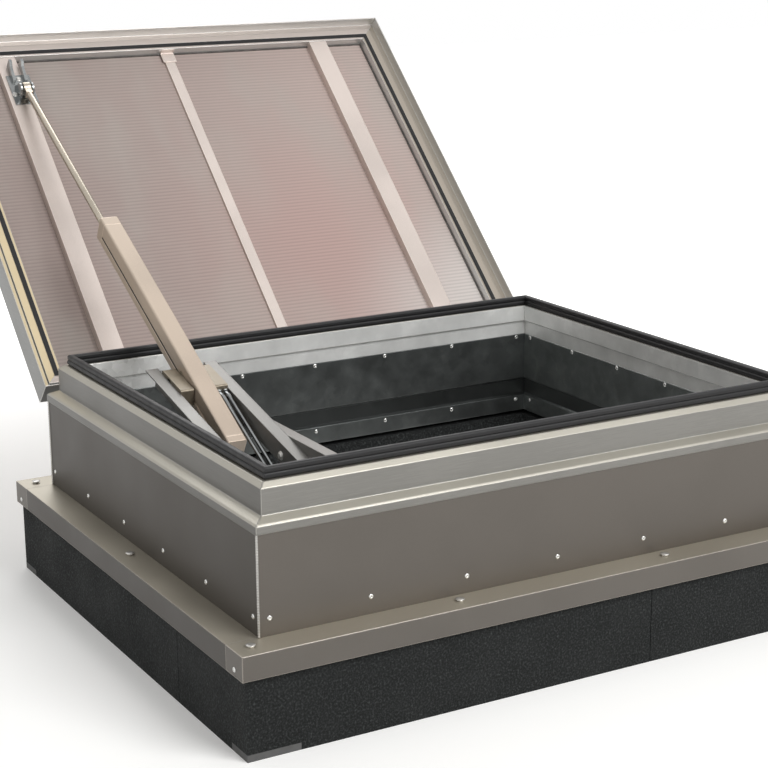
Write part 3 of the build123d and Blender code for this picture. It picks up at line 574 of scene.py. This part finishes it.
def head_place(points):
    """The middle of a fastener's head seat, the way the head faces, and the head's radius."""
    low = Vector([min(point[i] for point in points) for i in range(3)])
    high = Vector([max(point[i] for point in points) for i in range(3)])
    spans = high - low
    middle = (low + high) / 2
    axis = min((abs(spans[a] - spans[b]), c) for a, b, c in ((0, 1, 2), (1, 2, 0), (2, 0, 1)))[1]
    across, along = [i for i in range(3) if i != axis]

    def spread(point):
        return math.hypot(point[across] - middle[across], point[along] - middle[along])

    radius = max(spread(point) for point in points)
    rim = [point[axis] for point in points if spread(point) > radius * RIM_SHARE]
    faces_up = high[axis] - max(rim) > min(rim) - low[axis]
    seat = middle.copy()
    seat[axis] = min(rim) if faces_up else max(rim)
    facing = Vector((0, 0, 0))
    facing[axis] = 1.0 if faces_up else -1.0
    return seat, facing, radius


def lid_head_place(points):
    """The same for a head that stands square to the open lid."""
    middle = sum(points, Vector()) / len(points)
    rises = [(point - middle).dot(OUT_OF_THE_LID) for point in points]
    radius = max((point - middle - OUT_OF_THE_LID * rise).length for point, rise in zip(points, rises))
    return middle + OUT_OF_THE_LID * min(rises), OUT_OF_THE_LID, radius


def turned(name, places, profile, segments, smooth=True):
    """One mesh of a turned profile repeated at places (point, facing)."""
    verts = []
    faces = []
    for point, facing in places:
        turn = facing.to_track_quat("Z", "Y").to_matrix().to_4x4()
        place = Matrix.Translation(point) @ turn
        first = len(verts)
        for radius, rise in profile:
            for k in range(segments):
                angle = 2 * math.pi * k / segments
                verts.append(place @ Vector((radius * math.cos(angle), radius * math.sin(angle), rise)))
        for ring in range(len(profile) - 1):
            for k in range(segments):
                a = first + ring * segments + k
                b = first + ring * segments + (k + 1) % segments
                faces.append((a, b, b + segments, a + segments))
        last = first + (len(profile) - 1) * segments
        faces.append(tuple(range(last, last + segments)))
        faces.append(tuple(reversed(range(first, first + segments))))
    mesh = bpy.data.meshes.new(name)
    mesh.from_pydata([tuple(v) for v in verts], [], faces)
    mesh.update()
    for polygon in mesh.polygons:
        polygon.use_smooth = smooth and len(polygon.vertices) == 4
    piece = bpy.data.objects.new(name, mesh)
    bpy.context.scene.collection.objects.link(piece)
    return piece


class HATCH_OT_sheets(Operator):
    """Dresses walls, base flange and lining"""

    bl_idname = "hatch.sheets"
    bl_label = "Sheet metal of the curb"

    def execute(self, context):
        look = context.scene.hatch_metal
        dress(metal_material("rolled_sheet", look.sheet, 0.46, 0.8), "wall_front", "wall_back")
        # The left and right sheets and flanges take the darker flank tone: painted shade
        dress(metal_material("rolled_flank", look.flank_painted_shade, 0.46, 0.8), "wall_left", "wall_right")
        ends = metal_material("folded_ends", look.flange, ledge=look.flange_ledge_painted_light, edge_highlight=FLANGE_HIGHLIGHT)
        dress(ends, "base_flange_front", "base_flange_back")
        flanks = metal_material("folded_flanks", look.flank_painted_shade, ledge=look.flange_ledge_painted_light, edge_highlight=FLANGE_HIGHLIGHT)
        dress(flanks, "base_flange_left", "base_flange_right")
        # The lining sides take darker and lighter tones of one zinc: painted shade and painted light
        dress(spangle_material("lining_zinc", look.lining), "lining_front", "lining_back")
        dress(spangle_material("lining_zinc_right", look.lining_right), "lining_right")
        dress(spangle_material("lining_zinc_left", look.lining_left, 0.30, 0.3, 0.5), "lining_left")
        return {"FINISHED"}


class HATCH_OT_frames(Operator):
    """Dresses the curb's top frame, the lid's rails and its bars"""

    bl_idname = "hatch.frames"
    bl_label = "Extruded frames of curb and lid"

    def execute(self, context):
        look = context.scene.hatch_metal
        faces = {"inside": look.band, "ledge": look.collar_ledge_painted_light, "edge_highlight": COLLAR_HIGHLIGHT}
        collar = metal_material("collar", look.collar, 0.38, 0.75, ALONG_X, **faces)
        dress(collar, "top_frame_front", "top_frame_back")
        # The left and right of the top frame take the darker tone: painted shade
        flanks = metal_material("collar_flanks", look.collar_flank_painted_shade, 0.38, 0.75, ALONG_Y, **faces)
        dress(flanks, "top_frame_left", "top_frame_right")
        faces = {"bead": look.rail_bead, "under": look.rail_under, "edge_highlight": RAIL_HIGHLIGHT}
        ends = metal_material("rail_ends", look.rail, 0.36, 0.8, ALONG_X, **faces)
        dress(ends, "lid_rail_front", "lid_rail_back")
        # The right rail's underside is painted darker and the left rail's lighter and warmer: painted shade
        # and light
        faces["under"] = look.rail_right_under_painted_shade
        dress(metal_material("rail_right", look.rail, 0.36, 0.8, ALONG_Y, **faces), "lid_rail_right")
        faces["under"] = look.rail_left_under_painted_light
        dress(metal_material("rail_left", look.rail, 0.36, 0.8, ALONG_Y, **faces), "lid_rail_left")
        bars = metal_material("drawn_bars", look.bar, 0.42, 0.5)
        dress(bars, "stiffener_left", "stiffener_right", "centre_bar", "bar_clip")
        return {"FINISHED"}


class HATCH_OT_trim(Operator):
    """Dresses seals, plinth boards, packers and insulation"""

    bl_idname = "hatch.trim"
    bl_label = "Seals, plinth and insulation"

    def execute(self, context):
        look = context.scene.hatch_trim
        dress(rubber_material("seal_rubber", look.rubber), "curb_seal", "lid_seal", "slot_covers")
        dress(rubber_material("strip_rubber", look.strip), "glazing_strip")
        boards = [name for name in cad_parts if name.startswith("plinth_")]
        dress(felt_material("mineral_felt", look.felt), *boards)
        dress(plain_material("packer_board", look.packer, 0.7, 0.0), "corner_packers")
        dress(plain_material("mineral_wool", look.wool, 0.95, 0.0), "insulation")
        return {"FINISHED"}


class HATCH_OT_panel(Operator):
    """Dresses the lid's panel with its cells and painted light: a glow across it, a haze of painted
    reflections, a warm painted sheen and a painted pale corner
    """

    bl_idname = "hatch.panel"
    bl_label = "Multiwall panel"

    def execute(self, context):
        look = context.scene.hatch_trim
        material, tree, shader = new_material("ribbed_polycarbonate")
        vector = add_coords(tree)
        low, high = (Vector(corner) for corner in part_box("lid_panel"))
        ribs = self.rib_lines(tree, vector, high - low, look.panel_cells)
        # The panel grows brighter towards +X: painted light
        across = add_map(tree, add_axis(tree, vector, "X"), (low.x, high.x), (0.0, 1.0))
        ground_and_painted_light = add_ramp(tree, across, [(0.0, shade(look.panel, 0.72)), (1.0, shade(look.panel, 1.12))])
        # Greyer clouds over the panel: painted reflections
        haze = add_noise(tree, add_coords(tree, REFLECTION_STRETCH), 4.0)
        ground_and_painted_light = add_mix(tree, add_map(tree, haze, (0.42, 0.7), (0.0, 0.55), True), ground_and_painted_light, look.panel_painted_reflections)
        # A warm spot on the panel: painted sheen
        spot = low + (high - low) * SHEEN_RISE_SHARE
        spot.x = low.x + (high.x - low.x) * SHEEN_WIDTH_SHARE
        reach = add_vector_math(tree, "DISTANCE", vector, spot)
        ground_and_painted_light = add_mix(tree, add_map(tree, reach, SHEEN_REACH, (0.42, 0.03), True), ground_and_painted_light, look.panel_painted_sheen)
        # The right corner at the hinges turns pale: painted light
        reach = add_vector_math(tree, "DISTANCE", vector, Vector((high.x, low.y, low.z)))
        ground_and_painted_light = add_mix(tree, add_map(tree, reach, PALE_LIGHT_REACH, (0.8, 0.0), True), ground_and_painted_light, look.panel_painted_pale_light)
        stops = [(0.0, shade(WHITE, 0.89)), (0.5, shade(WHITE, 1.03)), (1.0, shade(WHITE, 1.08))]
        lines = add_ramp(tree, ribs, stops)
        tree.links.new(add_mix(tree, 1.0, ground_and_painted_light, lines, "MULTIPLY"), shader.inputs["Base Color"])
        tree.links.new(add_around(tree, haze, 0.45, 0.05), shader.inputs["Roughness"])
        shader.inputs["Transmission Weight"].default_value = 0.18
        shader.inputs["IOR"].default_value = 1.3
        add_bump(tree, shader, ribs, 0.25, 0.0008)
        dress(material, "lid_panel")
        return {"FINISHED"}

    def rib_lines(self, tree, vector, spans, cells):
        """A wave across the cells, from 0 to 1, up the open lid."""
        up = UP_THE_LID
        length = (spans.y * up.y - spans.z * up.z) / (up.y**2 - up.z**2)
        along = add_vector_math(tree, "DOT_PRODUCT", vector, up)
        wave = add_math(tree, "SINE", add_math(tree, "MULTIPLY", along, 2 * math.pi * cells / length))
        return add_math(tree, "MULTIPLY_ADD", wave, 0.5, 0.5)


class HATCH_OT_opener(Operator):
    """Dresses cylinder, console, bracket, pipes and hinges"""

    bl_idname = "hatch.opener"
    bl_label = "Opener and hinges"

    def execute(self, context):
        look = context.scene.hatch_metal
        tube = metal_material("anodised_tube", look.opener, 0.42, 0.3)
        dress(tube, "cylinder_tube", "cylinder_head", "cylinder_tail")
        console = metal_material("zinc_console", look.console)
        dress(console, "console_rail_left", "console_rail_right", "carrier_left", "carrier_right")
        cast = plain_material("yellow_zinc", look.cast, 0.44, 0.6)
        dress(cast, "trunnion_block_left", "trunnion_block_right", "trunnion_pins")
        plate = plain_material("zinc_plate", look.plate, 0.24, 1.0)
        dress(plate, "lock_bracket", "air_pipes")
        dress(plate, "hinge_curb_leaves", "hinge_lid_leaves", "hinge_pins")
        dress(metal_material("ground_rod", look.rod, 0.26, 0.9), "piston_rod", "rod_eye")
        piston = plain_material("piston_black", context.scene.hatch_trim.piston, 0.5, 0.0)
        dress(piston, "piston")
        return {"FINISHED"}


class HATCH_OT_rivets(Operator):
    """Replaces the rivets by domed heads with broken stems"""

    bl_idname = "hatch.rivets"
    bl_label = "Blind rivets"

    def execute(self, context):
        places = [head_place(points) for points in islands_of("rivets")]
        size = places[0][2]
        dome = [(size * width, size * rise) for width, rise in DOME_SHARES]
        spots = [(point, facing) for point, facing, _ in places]
        piece = turned("dressed_rivets", spots, dome, ROUND_SEGMENTS)
        steel = plain_material("rivet_steel", context.scene.hatch_fasteners.rivet, 0.26, 1.0)
        piece.data.materials.append(steel)
        dress(steel, "rivets")
        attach(piece, "curb")
        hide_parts("rivets")
        return {"FINISHED"}


class HATCH_OT_bolts(Operator):
    """Replaces screws and bolts by chamfered hexagons on washers"""

    bl_idname = "hatch.bolts"
    bl_label = "Screws and bolts"

    def execute(self, context):
        steel = plain_material("bolt_steel", context.scene.hatch_fasteners.bolt, 0.34, 0.75)
        for node, body in (("flange_screws", "curb"), ("console_bolts", "curb"), ("bracket_bolts", "lid")):
            find = lid_head_place if body == "lid" else head_place
            places = [find(points) for points in islands_of(node)]
            spots = [(point, facing) for point, facing, _ in places]
            size = places[0][2]
            tall = size * HEXAGON_HEIGHT_SHARE
            washer = [(size * width, tall * rise) for width, rise in WASHER_SHARES]
            hexagon = [(size * width, tall * rise) for width, rise in HEXAGON_SHARES]
            washers = turned(f"{node}_washers", spots, washer, ROUND_SEGMENTS)
            heads = turned(f"{node}_heads", spots, hexagon, 6, False)
            dress(steel, node)
            for piece in (washers, heads):
                piece.data.materials.append(steel)
                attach(piece, body)
            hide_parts(node)
        return {"FINISHED"}


class HATCH_OT_welds(Operator):
    """Replaces the weld beads by rippled ones"""

    bl_idname = "hatch.welds"
    bl_label = "Weld beads at the curb corners"

    def execute(self, context):
        wall_low, wall_high = (Vector(corner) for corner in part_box("wall_front"))
        bead_low, bead_high = (Vector(corner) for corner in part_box("corner_welds"))
        radius = wall_low.x - bead_low.x
        pitch = radius * RIPPLE_SHARE
        height = bead_high.z - bead_low.z
        steps = int(height / (pitch / RIPPLE_STEPS))
        profile = [(radius * BEAD_END_SHARE, 0.0)]
        for k in range(1, steps):
            rise = height * k / steps
            swell = abs(math.sin(math.pi * rise / pitch))
            profile.append((radius * (BEAD_VALLEY_SHARE + (1 - BEAD_VALLEY_SHARE) * swell), rise))
        profile.append((radius * BEAD_END_SHARE, height))
        places = []
        for points in islands_of("corner_welds"):
            x = wall_low.x if sum(point.x for point in points) < 0 else wall_high.x
            y = wall_low.y if sum(point.y for point in points) < 0 else -wall_low.y
            places.append((Vector((x, y, bead_low.z)), Vector((0, 0, 1))))
        piece = turned("rippled_welds", places, profile, BEAD_SEGMENTS)
        metal = plain_material("weld_metal", context.scene.hatch_fasteners.weld, 0.36, 0.95)
        piece.data.materials.append(metal)
        dress(metal, "corner_welds")
        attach(piece, "curb")
        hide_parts("corner_welds")
        return {"FINISHED"}


class HATCH_OT_stage(Operator):
    """Sets up floor, lamps, world and camera"""

    bl_idname = "hatch.stage"
    bl_label = "Floor, light and camera"

    def execute(self, context):
        stage = context.scene.hatch_stage
        mesh = bpy.data.meshes.new("floor")
        reach = stage.floor_reach
        corners = [(-reach, -reach, 0), (reach, -reach, 0), (reach, reach, 0), (-reach, reach, 0)]
        mesh.from_pydata(corners, [], [(0, 1, 2, 3)])
        floor = bpy.data.objects.new("floor", mesh)
        context.scene.collection.objects.link(floor)
        floor.data.materials.append(self.floor_material(stage.floor))
        self.lamp("key", *KEY_LAMP, stage.key_power)
        self.lamp("fill", *FILL_LAMP, stage.fill_power)
        self.lamp("back", *BACK_LAMP, stage.back_power)
        self.world(context)
        self.camera(context)
        context.scene.view_settings.view_transform = "Standard"
        return {"FINISHED"}

    def add_shown(self, tree):
        """1 for rays that show the background: to the camera, off metal or through the panel."""
        path = tree.nodes.new("ShaderNodeLightPath")
        shown = add_math(tree, "MAXIMUM", path.outputs["Is Camera Ray"], path.outputs["Is Glossy Ray"])
        return add_math(tree, "MAXIMUM", shown, path.outputs["Is Transmission Ray"])

    def floor_material(self, color):
        """A plain pale floor that shows white away from the hatch."""
        material, tree, shader = new_material("pale_floor")
        shader.inputs["Base Color"].default_value = color
        shader.inputs["Roughness"].default_value = 0.85
        shader.inputs["Emission Color"].default_value = WHITE
        reach = add_vector_math(tree, "LENGTH", add_coords(tree))
        glow = add_map(tree, reach, FLOOR_FADE, FLOOR_GLOW, True)
        white = add_math(tree, "MULTIPLY", glow, self.add_shown(tree))
        tree.links.new(white, shader.inputs["Emission Strength"])
        return material

    def lamp(self, name, place, aim, size, power):
        """A square soft lamp aimed at a point."""
        lamp = bpy.data.lights.new(name, "AREA")
        lamp.size = size
        lamp.energy = power
        holder = bpy.data.objects.new(name, lamp)
        holder.location = place
        holder.rotation_euler = (Vector(aim) - Vector(place)).to_track_quat("-Z", "Y").to_euler()
        bpy.context.scene.collection.objects.link(holder)

    def world(self, context):
        """White where it is seen, a soft grey gradient as light."""
        world = bpy.data.worlds.new("studio")
        context.scene.world = world
        world.use_nodes = True
        tree = world.node_tree
        tree.nodes.clear()
        output = tree.nodes.new("ShaderNodeOutputWorld")
        white = tree.nodes.new("ShaderNodeBackground")
        white.inputs["Color"].default_value = WHITE
        soft = tree.nodes.new("ShaderNodeBackground")
        soft.inputs["Strength"].default_value = SKY_STRENGTH
        coords = tree.nodes.new("ShaderNodeTexCoord")
        height = add_axis(tree, coords.outputs["Generated"], "Z")
        tree.links.new(add_ramp(tree, height, SKY_STOPS), soft.inputs["Color"])
        mix = tree.nodes.new("ShaderNodeMixShader")
        tree.links.new(self.add_shown(tree), mix.inputs["Fac"])
        tree.links.new(soft.outputs["Background"], mix.inputs[1])
        tree.links.new(white.outputs["Background"], mix.inputs[2])
        tree.links.new(mix.outputs["Shader"], output.inputs["Surface"])

    def camera(self, context):
        """The photograph's view."""
        lens = bpy.data.cameras.new("camera")
        lens.sensor_width = SENSOR
        lens.sensor_height = SENSOR
        lens.lens = CAMERA_LENS
        lens.clip_end = 100.0
        camera = bpy.data.objects.new("camera", lens)
        turn = Matrix.Rotation(CAMERA_TURN, 4, "Z") @ Matrix.Rotation(CAMERA_TILT, 4, "X")
        camera.matrix_world = Matrix.Translation(CAMERA_PLACE) @ turn @ Matrix.Rotation(CAMERA_ROLL, 4, "Z")
        context.scene.collection.objects.link(camera)
        context.scene.camera = camera


class HATCH_PT_panel(Panel):
    """Lists the hatch's colours, lamps and operators"""

    bl_idname = "HATCH_PT_panel"
    bl_label = "Roof hatch"
    bl_space_type = "VIEW_3D"
    bl_region_type = "UI"
    bl_category = "Hatch"

    def draw(self, context):
        for name, group in GROUPS.items():
            for value in group.__annotations__:
                self.layout.prop(getattr(context.scene, name), value)
        for operator in OPERATORS:
            self.layout.operator(operator.bl_idname)


GROUPS = {
    "hatch_metal": HatchMetal,
    "hatch_trim": HatchTrim,
    "hatch_fasteners": HatchFasteners,
    "hatch_stage": HatchStage,
}
OPERATORS = (
    HATCH_OT_sheets,
    HATCH_OT_frames,
    HATCH_OT_trim,
    HATCH_OT_panel,
    HATCH_OT_opener,
    HATCH_OT_rivets,
    HATCH_OT_bolts,
    HATCH_OT_welds,
    HATCH_OT_stage,
)


def register():
    for name, group in GROUPS.items():
        bpy.utils.register_class(group)
        setattr(bpy.types.Scene, name, PointerProperty(type=group))
    for cls in OPERATORS + (HATCH_PT_panel,):
        bpy.utils.register_class(cls)


def unregister():
    for cls in reversed(OPERATORS + (HATCH_PT_panel,)):
        bpy.utils.unregister_class(cls)
    for name, group in GROUPS.items():
        delattr(bpy.types.Scene, name)
        bpy.utils.unregister_class(group)


def main():
    register()
    bpy.ops.hatch.sheets()
    bpy.ops.hatch.frames()
    bpy.ops.hatch.trim()
    bpy.ops.hatch.panel()
    bpy.ops.hatch.opener()
    bpy.ops.hatch.rivets()
    bpy.ops.hatch.bolts()
    bpy.ops.hatch.welds()
    bpy.ops.hatch.stage()


if __name__ == "__main__":
    main()
